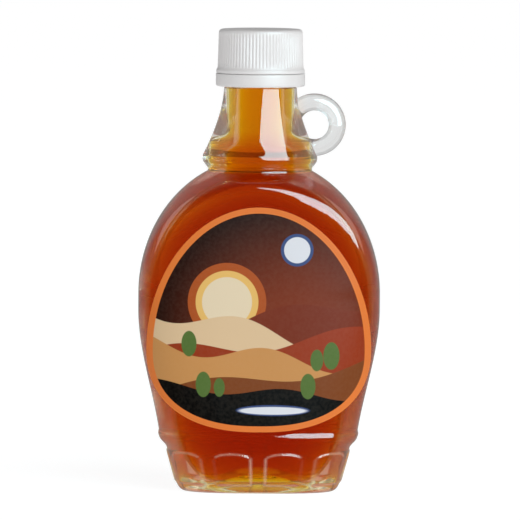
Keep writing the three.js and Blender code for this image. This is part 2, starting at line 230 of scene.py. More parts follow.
def outer_squareness(height):
    to_body = smoothstep(height, FOOT_TOP_HEIGHT, SQUARE_FOOT_TO_HEIGHT)
    to_neck = smoothstep(height, SQUARE_UP_TO_HEIGHT, SHOULDER_TOP_HEIGHT)
    return mix(mix(FOOT_SQUARENESS, BODY_SQUARENESS, to_body), ROUND, to_neck)


def cavity_squareness(height):
    return mix(CAVITY_SQUARENESS, ROUND, smoothstep(height, SQUARE_UP_TO_HEIGHT, CAVITY_SHOULDER_TO))


def glass_outline(half):
    """The outside of the glass, from the middle of its base up to the mouth."""
    bead_top = LEDGE_HEIGHT + LEDGE_BEAD
    bead_bottom = LEDGE_HEIGHT - LEDGE_BEAD
    flank = (WIDEST_FROM_HEIGHT - bead_top) / 3
    swell = half.ledge + FLANK_SWELL * (half.body - half.ledge)
    groove_middle = (SHOULDER_TOP_HEIGHT + GROOVE_HEIGHT) / 2
    rim_middle = RIM_RADIUS - RIM_ROUNDING
    line = Outline(0, PUSH_UP_HEIGHT)
    line.to((half.bearing_inner * PUSH_UP_FULLNESS, PUSH_UP_HEIGHT), (half.bearing_inner, 0), steps=14)
    line.to((half.bearing_outer, 0), steps=5)
    line.to((half.heel - HEEL_LEAN, 0), (half.heel, HEEL_HEIGHT), steps=9)
    line.to((half.foot_top, FOOT_TOP_HEIGHT), steps=34)
    line.to((half.foot_top + FOOT_SWELL, FOOT_TOP_HEIGHT + FOOT_EASE),
            (half.ledge - LEDGE_SWELL, bead_bottom - FOOT_EASE),
            (half.ledge, bead_bottom), steps=11)
    line.to((half.ledge + 2 * LEDGE_OVERHANG, LEDGE_HEIGHT), (half.ledge, bead_top), steps=8)
    line.to((swell, bead_top + flank), (half.body, WIDEST_FROM_HEIGHT - flank),
            (half.body, WIDEST_FROM_HEIGHT), steps=26)
    line.to((half.body, WIDEST_TO_HEIGHT), steps=3)
    line.to((half.bulge, SHOULDER_FROM_PULL_HEIGHT), (half.shoulder_pull, SHOULDER_TO_PULL_HEIGHT),
            (GROOVE_RADIUS, SHOULDER_TOP_HEIGHT), steps=36)
    line.to((GROOVE_RADIUS - GROOVE_DEPTH, groove_middle), (GROOVE_RADIUS, GROOVE_HEIGHT), steps=5)
    line.arc(rim_middle, RIM_HEIGHT, RIM_ROUNDING, RIM_FROM_ANGLE, RIM_TO_ANGLE, steps=12)
    line.to((BELL_TOP_RADIUS + BELL_SWELL, BELL_PULL_HEIGHT), (BELL_TOP_RADIUS, BELL_TOP_HEIGHT), steps=24)
    line.to((FINISH_RADIUS, BELL_TOP_HEIGHT + FINISH_STEP))
    line.to((FINISH_RADIUS, MOUTH_HEIGHT - LIP_ROUNDING), steps=4)
    line.to((FINISH_RADIUS, MOUTH_HEIGHT), (FINISH_RADIUS - LIP_ROUNDING, MOUTH_HEIGHT), steps=4)
    return line.points


def cavity_outline(half, growth, top_height):
    """The space inside the glass, from its floor up, swollen by a growth on every side."""
    punt = PUNT_HEIGHT - growth
    floor = FLOOR_HEIGHT - growth
    bowl = half.bowl + growth
    body = half.body + growth
    bore = BORE_RADIUS + growth
    neck = CAVITY_NECK_RADIUS + growth
    trough = half.trough
    bowl_bend = (BOWL_TOP_HEIGHT - floor) * BOWL_FULLNESS
    corner = mix(trough, bowl, BOWL_FULLNESS)
    flank = (WIDEST_FROM_HEIGHT - BOWL_TOP_HEIGHT) / 3
    swell = bowl + FLANK_SWELL * (body - bowl)
    narrowing = (HOLLOW_TOP_HEIGHT + BORE_FROM_HEIGHT) / 2
    line = Outline(0, punt)
    line.to((trough * PUNT_FULLNESS, punt), (trough * TROUGH_FULLNESS, floor), (trough, floor), steps=12)
    line.to((corner, floor), (bowl, BOWL_TOP_HEIGHT - bowl_bend), (bowl, BOWL_TOP_HEIGHT), steps=22)
    line.to((swell, BOWL_TOP_HEIGHT + flank), (body, WIDEST_FROM_HEIGHT - flank),
            (body, WIDEST_FROM_HEIGHT), steps=18)
    line.to((body, CAVITY_SHOULDER_FROM), steps=2)
    line.to((body, CAVITY_FROM_PULL_HEIGHT), (half.shoulder_pull + growth, CAVITY_TO_PULL_HEIGHT),
            (neck, CAVITY_SHOULDER_TO), steps=30)
    line.to((neck, HOLLOW_TOP_HEIGHT), steps=4)
    line.to((neck, narrowing), (bore, narrowing), (bore, BORE_FROM_HEIGHT), steps=14)
    line.to((bore, top_height), steps=8)
    return line.points


def oval_rings(front, side, squareness):
    return [Ring(a.x, b.x, a.y, squareness(a.y)) for a, b in zip(front, side)]


def glass_rings():
    return oval_rings(glass_outline(FRONT), glass_outline(SIDE), outer_squareness)


def cavity_rings(growth, top_height):
    front = cavity_outline(CAVITY_FRONT, growth, top_height)
    side = cavity_outline(CAVITY_SIDE, growth, top_height)
    return oval_rings(front, side, cavity_squareness)


def oval_reach(across, along, squareness):
    """How far an oval of unit size reaches along a direction."""
    return (abs(across) ** squareness + abs(along) ** squareness) ** (-1 / squareness)


def oval_point(ring, turn):
    """The point of a ring that many radians round from +X."""
    across, along = math.cos(turn), math.sin(turn)
    reach = oval_reach(across, along, ring.squareness)
    return Vector((ring.width * across * reach, ring.depth * along * reach, ring.height))


def pressed_point(ring, turn):
    """The point of a ring of the glass outside, which the upright faces of the flask keep within."""
    point = oval_point(ring, turn)
    own = math.hypot(point.x, point.y)
    if own == 0:
        return point
    face = oval_reach(point.x / own / FACE_WIDTH, point.y / own / FACE_DEPTH, BODY_SQUARENESS)
    near = max(FACE_BLEND - abs(own - face), 0) / FACE_BLEND
    kept = min(own, face) - near * near * FACE_BLEND / 4
    return Vector((point.x * kept / own, point.y * kept / own, ring.height))


def loft(rings, segments, place=oval_point):
    """Rings extruded one from the next and closed to a point at both ends.

    Each vertex keeps the number of its ring in the layer "ring".
    """
    bm = bmesh.new()
    step_of = bm.verts.layers.int.new("step")
    ring_of = bm.verts.layers.int.new("ring")
    bmesh.ops.create_circle(bm, segments=segments, radius=1.0)
    for step, vert in enumerate(bm.verts):
        vert[step_of] = step
    first = last = bm.verts[:]
    edges = bm.edges[:]
    for number, ring in enumerate(rings):
        if number:
            made = bmesh.ops.extrude_edge_only(bm, edges=edges)["geom"]
            last = [g for g in made if isinstance(g, bmesh.types.BMVert)]
            edges = [g for g in made if isinstance(g, bmesh.types.BMEdge)]
        for vert in last:
            vert[ring_of] = number
            vert.co = place(ring, TURN * vert[step_of] / segments) * MM
    for end in (first, last):
        middle = sum((vert.co for vert in end), Vector()) / len(end)
        bmesh.ops.pointmerge(bm, verts=end, merge_co=middle)
    bmesh.ops.recalc_face_normals(bm, faces=bm.faces[:])
    return bm


def finish_piece(name, bm, materials, node, sharp_angle=40):
    """Makes a bmesh into a piece that stands for a CAD node and rides on the bottle."""
    for face in bm.faces:
        face.smooth = True
    for edge in bm.edges:
        if len(edge.link_faces) == 2 and edge.calc_face_angle() > math.radians(sharp_angle):
            edge.smooth = False
    mesh = bpy.data.meshes.new(name)
    bm.to_mesh(mesh)
    bm.free()
    for material in materials:
        mesh.materials.append(material)
    piece = bpy.data.objects.new(name, mesh)
    bpy.context.scene.collection.objects.link(piece)
    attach(piece, "root")
    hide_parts(node)
    return piece


def linear(red, green, blue):
    """A screen colour from 0 to 255 as the linear colour that shaders take."""
    def one(value):
        value /= 255
        return value / 12.92 if value <= 0.04045 else ((value + 0.055) / 1.055) ** 2.4
    return (one(red), one(green), one(blue), 1.0)


# The print of the label, in millimetres across the front and up from the table
INK_DARK = linear(9, 6, 5)
INK_DUSK = linear(126, 50, 22)
INK_ORANGE = linear(231, 125, 55)
INK_PALE = linear(226, 205, 175)
INK_GREEN = linear(87, 115, 54)
BORDER_WIDTH = 2.0
PRINT_SOFTNESS = 0.12
DUSK = (14, 56, 34, 30)
DUSK_FADE = 22
TREE_TALLNESS = 1.7
Disc = namedtuple("Disc", "x height half_width half_height ink")
SKY = (
    Disc(-11, 67, 13.5, 13.5, linear(176, 84, 34)),
    Disc(-11, 67, 10.8, 10.8, linear(233, 188, 106)),
    Disc(-11, 67, 8.6, 8.6, linear(232, 214, 182)),
    Disc(13, 85, 5.6, 5.6, linear(62, 82, 132)),
    Disc(13, 85, 4.5, 4.5, linear(226, 229, 236)),
)
POND = (
    Disc(5, 29.6, 12.5, 1.9, linear(62, 82, 132)),
    Disc(5, 29.5, 11.6, 1.35, linear(226, 229, 236)),
)
Hill = namedtuple("Hill", "height slope swell length phase ink trees")
HILLS = (
    Hill(61, 0.16, 3.4, 62, 0.6, linear(122, 46, 22), ()),
    Hill(57, -0.2, 3.6, 52, 2.3, linear(224, 194, 154), ()),
    Hill(52.5, 0.1, 2.8, 58, 4.6, linear(153, 55, 22), ()),
    Hill(48.5, -0.12, 3.0, 47, 1.2, linear(203, 146, 86), ((20, 47, 2.2), (25, 48.5, 2.8), (-24, 52.5, 2.6))),
    Hill(40.5, 0.14, 2.6, 66, 3.2, linear(128, 68, 30), ()),
    Hill(36, -0.06, 1.6, 44, 0.3, linear(9, 6, 5), ((-19, 38.5, 2.6), (-13.5, 37.5, 1.9), (17, 38, 2.6))),
)


class Finish:
    """A procedural material that is built node by node round one Principled shader."""

    def __init__(self, name):
        self.material = bpy.data.materials.new(name)
        self.material.use_nodes = True
        self.tree = self.material.node_tree
        self.shader = self.tree.nodes["Principled BSDF"]
        self.output = self.tree.nodes["Material Output"]
        self.place = self.node("ShaderNodeTexCoord").outputs["Object"]

    def node(self, kind, **settings):
        made = self.tree.nodes.new(kind)
        for name, value in settings.items():
            setattr(made, name, value)
        return made

    def put(self, socket, value):
        """Sets a socket to a number or colour, or links an output to it."""
        if isinstance(value, bpy.types.NodeSocket):
            self.tree.links.new(value, socket)
        else:
            socket.default_value = value

    def set(self, **values):
        for name, value in values.items():
            self.put(self.shader.inputs[name.replace("_", " ").title().replace("Ior", "IOR")], value)

    def maths(self, operation, *values):
        made = self.node("ShaderNodeMath", operation=operation)
        for socket, value in zip(made.inputs, values):
            self.put(socket, value)
        return made.outputs[0]

    def ramp(self, value, low, high, from_value=0.0, to_value=1.0):
        """A smooth step of value from low to high."""
        made = self.node("ShaderNodeMapRange", interpolation_type="SMOOTHSTEP")
        for name, number in zip(("Value", "From Min", "From Max", "To Min", "To Max"),
                                (value, low, high, from_value, to_value)):
            self.put(made.inputs[name], number)
        return made.outputs["Result"]

    def noise(self, scale, detail):
        made = self.node("ShaderNodeTexNoise")
        made.inputs["Scale"].default_value = scale
        made.inputs["Detail"].default_value = detail
        self.put(made.inputs["Vector"], self.place)
        return made.outputs["Fac"]

    def millimetres(self):
        """The place across the front and the height of a spot, in millimetres."""
        axes = self.node("ShaderNodeSeparateXYZ")
        self.put(axes.inputs[0], self.place)
        return [self.maths("DIVIDE", axes.outputs[axis], MM) for axis in ("X", "Z")]

    def either(self, share, a, b):
        """Two shaders in one, with that share of the second."""
        made = self.node("ShaderNodeMixShader")
        for socket, value in zip(made.inputs, (share, a, b)):
            self.put(socket, value)
        return made.outputs["Shader"]

    def blend(self, share, a, b):
        made = self.node("ShaderNodeMix", data_type="RGBA")
        self.put(made.inputs["Factor"], share)
        sockets = [socket for socket in made.inputs if socket.type == "RGBA"]
        self.put(sockets[0], a)
        self.put(sockets[1], b)
        return next(socket for socket in made.outputs if socket.type == "RGBA")

    def disc(self, across, up, x, height, half_width, half_height, soft=PRINT_SOFTNESS):
        """1 inside an oval of the print, 0 outside it."""
        wide = self.maths("DIVIDE", self.maths("SUBTRACT", across, x), half_width)
        tall = self.maths("DIVIDE", self.maths("SUBTRACT", up, height), half_height)
        squares = [self.maths("POWER", side, 2.0) for side in (wide, tall)]
        out = self.maths("SQRT", self.maths("ADD", *squares))
        share = soft / min(half_width, half_height)
        return self.ramp(out, 1 - share, 1 + share, 1.0, 0.0)

    def below(self, across, up, hill):
        """1 under the wavy line of a hill, 0 above it."""
        swing = self.maths("MULTIPLY_ADD", across, TURN / hill.length, hill.phase)
        line = self.maths("MULTIPLY_ADD", self.maths("SINE", swing), hill.swell, hill.height)
        line = self.maths("MULTIPLY_ADD", across, hill.slope, line)
        over = self.maths("SUBTRACT", up, line)
        return self.ramp(over, -PRINT_SOFTNESS, PRINT_SOFTNESS, 1.0, 0.0)

    def bump(self, height, strength, distance):
        made = self.node("ShaderNodeBump")
        made.inputs["Strength"].default_value = strength
        made.inputs["Distance"].default_value = distance
        self.put(made.inputs["Height"], height)
        self.put(self.shader.inputs["Normal"], made.outputs["Normal"])


# The glass, and the share of the light that it lets through unbent, more in its thick neck and foot
GLASS_TINT = (0.74, 0.745, 0.74, 1)
GLASS_IOR = 1.52
STRAIGHT_BODY = 0.2
STRAIGHT_NECK = 0.24
STRAIGHT_FOOT = 0.28
WARM_LIGHT = (0.98, 0.86, 0.74, 1)
PLAIN_LIGHT = (0.9, 0.9, 0.9, 1)
# Painted highlight: a flat peach-white colour mixed into the glass along the bevels of the foot's arches
ARCH_HIGHLIGHT_PAINT = linear(240, 205, 182)
ARCH_HIGHLIGHT_SHARE = 0.34

# The syrup, and how much more the glass bends light than the syrup does
GLASS_TO_SYRUP = 1.04
WETTED_TINT = (0.995, 0.995, 0.995, 1)
AMBER = (0.966, 0.856, 0.0, 1)
AMBER_DENSITY = 700

CAP_WHITES = (0.835, 0.815, 0.81, 1), (0.895, 0.87, 0.865, 1)
CAP_GLOSS = 0.25
PRINT_GLOSS = 0.06
PAPER_WHITES = linear(222, 216, 204), linear(238, 234, 226)


def clear_glass():
    """Flint glass with the faint waves of a blown flask, and a painted highlight, a flat peach-white diffuse
    mixed in, along the bevelled edges of the arches of its foot.
    """
    finish = Finish("clear_glass")
    finish.set(base_color=GLASS_TINT, transmission_weight=1.0, ior=GLASS_IOR)
    polish = finish.noise(scale=40, detail=3)
    finish.set(roughness=finish.ramp(polish, 0.35, 0.75, from_value=0.0, to_value=0.02))
    finish.bump(finish.noise(scale=55, detail=2), strength=0.06, distance=0.002)

    across, height = finish.millimetres()
    neck = finish.ramp(height, CAVITY_SHOULDER_TO, RIM_HEIGHT, STRAIGHT_BODY, STRAIGHT_NECK)
    foot = finish.ramp(height, FOOT_TOP_HEIGHT, SQUARE_FOOT_TO_HEIGHT, STRAIGHT_FOOT, STRAIGHT_BODY)
    beside_neck = finish.ramp(across, BELL_TOP_RADIUS, RING_CENTRE[0] - 2)
    in_ring = finish.maths("MULTIPLY", beside_neck, finish.ramp(height, GROOVE_HEIGHT, RIM_HEIGHT))
    straight = finish.node("ShaderNodeBsdfTransparent")
    finish.put(straight.inputs["Color"], finish.blend(in_ring, WARM_LIGHT, PLAIN_LIGHT))
    share = finish.maths("MAXIMUM", neck, foot)
    clear = finish.either(share, finish.shader.outputs["BSDF"], straight.outputs["BSDF"])

    # Painted highlight: a flat peach-white diffuse mixed in along the bevels of the raised arches, where a
    # highlight falls
    painted_highlight = finish.node("ShaderNodeBsdfDiffuse")
    painted_highlight.inputs["Color"].default_value = ARCH_HIGHLIGHT_PAINT
    line = finish.node("ShaderNodeAttribute", attribute_name="arch_highlight").outputs["Fac"]
    highlighted = finish.either(finish.maths("MULTIPLY", line, ARCH_HIGHLIGHT_SHARE), clear, painted_highlight.outputs["BSDF"])
    finish.put(finish.output.inputs["Surface"], highlighted)
    return finish.material


def wetted_glass():
    """The inner face of the glass where syrup touches it, which bends light only by the ratio of the two."""
    finish = Finish("wetted_glass")
    finish.set(base_color=WETTED_TINT, transmission_weight=1.0, ior=GLASS_TO_SYRUP, roughness=0.0)
    return finish.material


def amber_syrup():
    """Syrup that colours the light along its way, with no bend of its own at its face."""
    finish = Finish("amber_syrup")
    finish.set(base_color=(1, 1, 1, 1), transmission_weight=1.0, ior=1.0, roughness=0.0)
    absorption = finish.node("ShaderNodeVolumeAbsorption")
    absorption.inputs["Color"].default_value = AMBER
    absorption.inputs["Density"].default_value = AMBER_DENSITY
    finish.put(finish.output.inputs["Volume"], absorption.outputs["Volume"])
    return finish.material


def white_plastic():
    """Moulded white polypropylene."""
    finish = Finish("white_plastic")
    finish.set(base_color=finish.blend(finish.noise(scale=120, detail=4), *CAP_WHITES))
    polish = finish.noise(scale=600, detail=2)
    finish.set(roughness=finish.ramp(polish, 0.3, 0.7, from_value=0.38, to_value=0.5))
    finish.bump(finish.noise(scale=2200, detail=2), strength=0.05, distance=0.0002)
    finish.shader.inputs["Specular IOR Level"].default_value = CAP_GLOSS
    return finish.material


def printed_label():
    """Hills at dusk under a low sun, printed in flat colours on a dark ground within an orange border."""
    finish = Finish("printed_label")
    across, up = finish.millimetres()
    edge = finish.node("ShaderNodeAttribute", attribute_name="edge").outputs["Fac"]
    colour = finish.blend(finish.disc(across, up, *DUSK, soft=DUSK_FADE), INK_DARK, INK_DUSK)
    for disc in SKY:
        colour = finish.blend(finish.disc(across, up, *disc[:-1]), colour, disc.ink)
    for hill in HILLS:
        colour = finish.blend(finish.below(across, up, hill), colour, hill.ink)
        for x, height, width in hill.trees:
            crown = finish.disc(across, up, x, height, width, TREE_TALLNESS * width)
            colour = finish.blend(crown, colour, INK_GREEN)
    for disc in POND:
        colour = finish.blend(finish.disc(across, up, *disc[:-1]), colour, disc.ink)
    border = finish.ramp(edge, BORDER_WIDTH, BORDER_WIDTH + PRINT_SOFTNESS, 1.0, 0.0)
    colour = finish.blend(border, colour, INK_ORANGE)
    grain = finish.ramp(finish.noise(scale=900, detail=3), 0.3, 0.7, from_value=0.0, to_value=0.014)
    finish.set(base_color=finish.blend(grain, colour, INK_PALE))
    polish = finish.noise(scale=300, detail=2)
    finish.set(roughness=finish.ramp(polish, 0.3, 0.7, from_value=0.4, to_value=0.5))
    finish.shader.inputs["Specular IOR Level"].default_value = PRINT_GLOSS
    return finish.material


def bare_paper():
    """The unprinted back of the label."""
    finish = Finish("bare_paper")
    finish.set(base_color=finish.blend(finish.noise(scale=400, detail=4), *PAPER_WHITES), roughness=0.8)
    return finish.material


class FootPanels:
    """The raised arches round the foot, evenly spaced along its girth."""

    def __init__(self, rings):
        middle = (PANEL_BOTTOM_HEIGHT + PANEL_TOP_HEIGHT) / 2
        walls = [ring for ring in rings if ring.width > FRONT.bearing_outer]
        ring = min(walls, key=lambda wall: abs(wall.height - middle))
        points = [oval_point(ring, TURN * i / OVAL_STEPS) for i in range(OVAL_STEPS + 1)]
        self.walked = [0.0]
        for a, b in zip(points, points[1:]):
            self.walked.append(self.walked[-1] + (b - a).length)
        self.girth = self.walked[-1]
        self.front = self.walked[3 * OVAL_STEPS // 4]

    def rise(self, turn, height):
        """How far up its bevelled edge a spot of a panel is, from 0 on the wall to 1 on the panel."""
        at = self.walked[round(turn / TURN * OVAL_STEPS) % OVAL_STEPS] - self.front
        pitch = self.girth / PANEL_COUNT
        off_middle = abs((at % pitch) - pitch / 2)
        half = PANEL_WIDTH / 2
        if off_middle >= half:
            return 0.0
        spring = PANEL_TOP_HEIGHT - PANEL_CROWN
        bow = (1 - (off_middle / half) ** PANEL_CROWN_SQUARENESS) ** (1 / PANEL_CROWN_SQUARENESS)
        crown = spring + PANEL_CROWN * bow
        inside = min(half - off_middle, crown - height, height - PANEL_BOTTOM_HEIGHT)
        return smoothstep(inside, 0, PANEL_EDGE)


def finger_ring():
    """The ring as a closed tube, spun round and stood up beside the neck."""
    bm = bmesh.new()
    tube = Matrix.Translation((RING_RADIUS * MM, 0, 0)) @ Matrix.Rotation(math.pi / 2, 4, "X")
    bmesh.ops.create_circle(bm, segments=RING_SECTION_SEGMENTS, radius=RING_THICKNESS / 2 * MM, matrix=tube)
    bmesh.ops.spin(bm, geom=bm.verts[:] + bm.edges[:], cent=(0, 0, 0), axis=(0, 0, 1),
                   angle=TURN, steps=RING_SEGMENTS, use_merge=True, use_duplicate=False)
    bmesh.ops.remove_doubles(bm, verts=bm.verts[:], dist=SAME_SPOT)
    bmesh.ops.recalc_face_normals(bm, faces=bm.faces[:])
    bmesh.ops.rotate(bm, verts=bm.verts[:], cent=(0, 0, 0), matrix=Matrix.Rotation(math.pi / 2, 3, "X"))
    bmesh.ops.translate(bm, verts=bm.verts[:], vec=Vector(RING_CENTRE) * MM)
    mesh = bpy.data.meshes.new("finger_ring_tool")
    bm.to_mesh(mesh)
    bm.free()
    tool = bpy.data.objects.new("finger_ring_tool", mesh)
    bpy.context.scene.collection.objects.link(tool)
    return tool


def glass_flask(glass, wetted):
    outside = glass_rings()
    inside = cavity_rings(0, MOUTH_HEIGHT - LIP_ROUNDING)[::-1]
    lip = Ring(BORE_RADIUS + LIP_ROUNDING, BORE_RADIUS + LIP_ROUNDING, MOUTH_HEIGHT, ROUND)
    rings = [*outside, lip, *inside]
    panels = FootPanels(outside)
    skin = set(outside)
    foot = {
        ring for ring in outside
        if PANEL_BOTTOM_HEIGHT < ring.height < FOOT_TOP_HEIGHT and ring.width > FRONT.bearing_outer
    }

    def place(ring, turn):
        if ring not in skin:
            return oval_point(ring, turn)
        point = pressed_point(ring, turn)
        if ring in foot:
            ahead = oval_point(ring, turn + SLOPE_TURN) - oval_point(ring, turn - SLOPE_TURN)
            outward = Vector((ahead.y, -ahead.x, 0)).normalized()
            point += outward * PANEL_RISE * panels.rise(turn, ring.height)
        return point

    bm = loft(rings, GLASS_SEGMENTS, place)
    ring_of = bm.verts.layers.int["ring"]
    step_of = bm.verts.layers.int["step"]
    # How much painted highlight each vertex on a panel bevel gets, most halfway up the bevel
    highlight_of = bm.verts.layers.float.new("arch_highlight")
    for vert in bm.verts:
        ring = rings[vert[ring_of]]
        if ring in foot:
            rise = panels.rise(TURN * vert[step_of] / GLASS_SEGMENTS, ring.height)
            vert[highlight_of] = 4 * rise * (1 - rise)
    first_inside = len(outside) + 1
    for face in bm.faces:
        if all(vert[ring_of] >= first_inside and vert.co.z < SYRUP_LEVEL * MM for vert in face.verts):
            face.material_index = 1
    plain = bpy.data.meshes.new("plain_flask")
    bm.to_mesh(plain)
    bm.free()
    for material in (glass, wetted):
        plain.materials.append(material)
    flask = bpy.data.objects.new("plain_flask", plain)
    bpy.context.scene.collection.objects.link(flask)
    tool = finger_ring()
    tool.data.materials.append(glass)
    join = flask.modifiers.new("join", "BOOLEAN")
    join.operation = "UNION"
    join.solver = "MANIFOLD"
    join.object = tool
    joined = bpy.data.meshes.new_from_object(flask.evaluated_get(bpy.context.evaluated_depsgraph_get()))
    bm = bmesh.new()
    bm.from_mesh(joined)
    bmesh.ops.remove_doubles(bm, verts=bm.verts[:], dist=SAME_SPOT)
    for done in (flask, tool):
        bpy.data.objects.remove(done)
    return finish_piece("glass_flask", bm, (glass, wetted), "bottle")


def syrup_filling(material):
    rings = cavity_rings(WETTING, SYRUP_LEVEL)
    top = rings[-1]
    rings += [top._replace(width=top.width * share, depth=top.depth * share) for share in LEVEL_RINGS]
    return finish_piece("syrup_filling", loft(rings, GLASS_SEGMENTS), (material,), "syrup")


def half_at(rings, height):
    """The half width and half depth of the outside of the glass at a height."""
    for low, high in zip(rings, rings[1:]):
        if low.height <= height <= high.height and high.height > low.height:
            share = (height - low.height) / (high.height - low.height)
            return mix(low.width, high.width, share), mix(low.depth, high.depth, share)
    raise ValueError(height)


def oval_label(printed, paper):
    body = [ring for ring in glass_rings() if ring.height > HEEL_HEIGHT]

    def on_glass(x, height):
        ring = Ring(*half_at(body, height), height, outer_squareness(height))
        low, high = -math.pi, 0.0
        for _ in range(HALVINGS):
            middle = (low + high) / 2
            if pressed_point(ring, middle).x < x:
                low = middle
            else:
                high = middle
        return pressed_point(ring, high)

    def off_glass(x, height, distance):
        across = on_glass(x + SLOPE_STEP, height) - on_glass(x - SLOPE_STEP, height)
        upward = on_glass(x, height + SLOPE_STEP) - on_glass(x, height - SLOPE_STEP)
        return on_glass(x, height) + across.cross(upward).normalized() * distance

    def rim(turn):
        upper = math.sin(turn) >= 0
        reach = LABEL_RISE if upper else LABEL_DROP
        squareness = ROUND if upper else LABEL_DROP_SQUARENESS
        return oval_point(Ring(LABEL_HALF_WIDTH, reach, 0, squareness), turn)

    def place(layer, turn):
        share, distance = layer
        edge = rim(turn)
        return off_glass(share * edge.x, LABEL_CENTRE_HEIGHT + share * edge.y, distance)

    shares = [(i / LABEL_RINGS) ** LABEL_RING_SPREAD for i in range(1, LABEL_RINGS + 1)]
    under, over = LABEL_LIFT, LABEL_LIFT + LABEL_THICKNESS
    layers = [(share, under) for share in shares] + [(share, over) for share in shares[::-1]]
    bm = loft(layers, LABEL_SEGMENTS, place)
    edge_of = bm.verts.layers.float.new("edge")
    ring_of = bm.verts.layers.int["ring"]
    outline = [rim(TURN * i / OVAL_STEPS) for i in range(OVAL_STEPS)]
    outline = [Vector((p.x, p.y + LABEL_CENTRE_HEIGHT)) for p in outline]
    for vert in bm.verts:
        spot = Vector((vert.co.x, vert.co.z)) / MM
        vert[edge_of] = min((spot - p).length for p in outline)
    for face in bm.faces:
        if all(vert[ring_of] < LABEL_RINGS for vert in face.verts):
            face.material_index = 1
    return finish_piece("oval_label", bm, (printed, paper), "front_label")


def ribbed_cap(material):
    line = Outline(CAP_POLE_RADIUS, CAP_TOP_HEIGHT)
    edge = CAP_TOP_HEIGHT - CAP_EDGE_ROUNDING
    line.to((CAP_TOP_RADIUS - CAP_EDGE_ROUNDING, CAP_TOP_HEIGHT), steps=6)
    line.to((CAP_TOP_RADIUS, CAP_TOP_HEIGHT), (CAP_TOP_RADIUS, edge), steps=8)
    line.to((CAP_TOP_RADIUS, RIB_TO_HEIGHT), steps=4)
    line.to((CAP_SKIRT_RADIUS, RIB_FROM_HEIGHT), steps=8)
    line.to((CAP_SKIRT_RADIUS + BEAD_SWELL, CAP_BEAD_HEIGHT + BEAD_EASE),
            (CAP_BEAD_RADIUS, CAP_BEAD_HEIGHT), steps=5)
    line.to((CAP_BEAD_RADIUS, CAP_BOTTOM_HEIGHT + CAP_LIP_ROUNDING), steps=2)
    line.to((CAP_BEAD_RADIUS, CAP_BOTTOM_HEIGHT),
            (CAP_BEAD_RADIUS - CAP_LIP_ROUNDING, CAP_BOTTOM_HEIGHT), steps=3)
    line.to((CAP_BORE_RADIUS, CAP_BOTTOM_HEIGHT), steps=2)
    line.to((CAP_BORE_RADIUS, CAP_BORE_TOP_HEIGHT), steps=4)
    line.to((CAP_POLE_RADIUS, CAP_BORE_TOP_HEIGHT), steps=3)
    rings = [Ring(point.x, point.x, point.y, ROUND) for point in line.points]

    def place(ring, turn):
        point = oval_point(ring, turn)
        if ring.width > CAP_BORE_RADIUS + CAP_WALL:
            groove = 0.5 - 0.5 * math.cos(turn * RIB_COUNT)
            fade = smoothstep(ring.height, RIB_FROM_HEIGHT - RIB_FADE_BELOW, RIB_FROM_HEIGHT + RIB_FADE_ABOVE)
            fade *= 1 - smoothstep(ring.height, RIB_TO_HEIGHT, CAP_TOP_HEIGHT - RIB_END)
            depth = RIB_DEPTH * groove ** RIB_SHARPNESS * fade
            point -= Vector((point.x, point.y, 0)).normalized() * depth
        return point

    bm = loft(rings, RIB_COUNT * STEPS_TO_A_RIB, place)
    return finish_piece("ribbed_cap", bm, (material,), "cap")


def cap_band(material):
    """The band as a section that is spun round the neck."""
    line = Outline(BAND_BORE_RADIUS, BAND_BOTTOM_HEIGHT)
    line.to((BAND_RADIUS - BAND_ROUNDING, BAND_BOTTOM_HEIGHT), steps=2)
    line.to((BAND_RADIUS, BAND_BOTTOM_HEIGHT), (BAND_RADIUS, BAND_BOTTOM_HEIGHT + BAND_ROUNDING), steps=6)
    line.to((BAND_RADIUS, BAND_TOP_HEIGHT - BAND_TOP_ROUNDING), steps=3)
    line.to((BAND_RADIUS, BAND_TOP_HEIGHT), (BAND_RADIUS - BAND_TOP_ROUNDING, BAND_TOP_HEIGHT), steps=3)
    line.to((BAND_BORE_RADIUS, BAND_TOP_HEIGHT), steps=2)
    bm = bmesh.new()
    verts = [bm.verts.new((point.x * MM, 0, point.y * MM)) for point in line.points]
    edges = [bm.edges.new(pair) for pair in zip(verts, verts[1:] + verts[:1])]
    bmesh.ops.spin(bm, geom=verts + edges, cent=(0, 0, 0), axis=(0, 0, 1),
                   angle=TURN, steps=BAND_SEGMENTS, use_merge=True, use_duplicate=False)
    bmesh.ops.remove_doubles(bm, verts=bm.verts[:], dist=SAME_SPOT)
    bmesh.ops.recalc_face_normals(bm, faces=bm.faces[:])
    return finish_piece("cap_band", bm, (material,), "tamper_band")


# The studio: a luminous white table, a key light, a softbox that shows only in the gloss, and the camera
CAMERA_DISTANCE = 2.5
CAMERA_HEIGHT = 0.249
CAMERA_AIM = Vector((0.00024, 0, 0.0798))
CAMERA_LENS = 500
CAMERA_ROLL = math.radians(0.37)
FLOOR_SIZE = 60
FLOOR_GREY = (0.2, 0.2, 0.2, 1)
FLOOR_GLOW = 0.9
WHITE = (1, 1, 1, 1)
ROOM_LIGHT = 0.27
GLOSS_LIGHT = 0.05
GLOSS_BEHIND = 0.32
GLOSS_SPAN = (0.35, 0.95)
SIDE_DARKNESS = 0.6
SIDE_SPAN = (-0.2, 0.5)
BEHIND_LIGHT = 1.0
KEY_WAY = (38, 35)
KEY_ENERGY = 1.1
KEY_SPREAD = math.radians(50)
SOFTBOX_WAY = (34, 24)
SOFTBOX_DISTANCE = 1.3
SOFTBOX_SIZE = (1.35, 1.27)
SOFTBOX_RADIANCE = 16.5
SOFTBOX_TINT = (0.66, 0.93, 1.0)


def toward(azimuth, elevation):
    """A direction seen from the bottle: azimuth 0 is the camera's side, and 90 is +X."""
    a, e = math.radians(azimuth), math.radians(elevation)
    return Vector((math.sin(a) * math.cos(e), -math.cos(a) * math.cos(e), math.sin(e)))


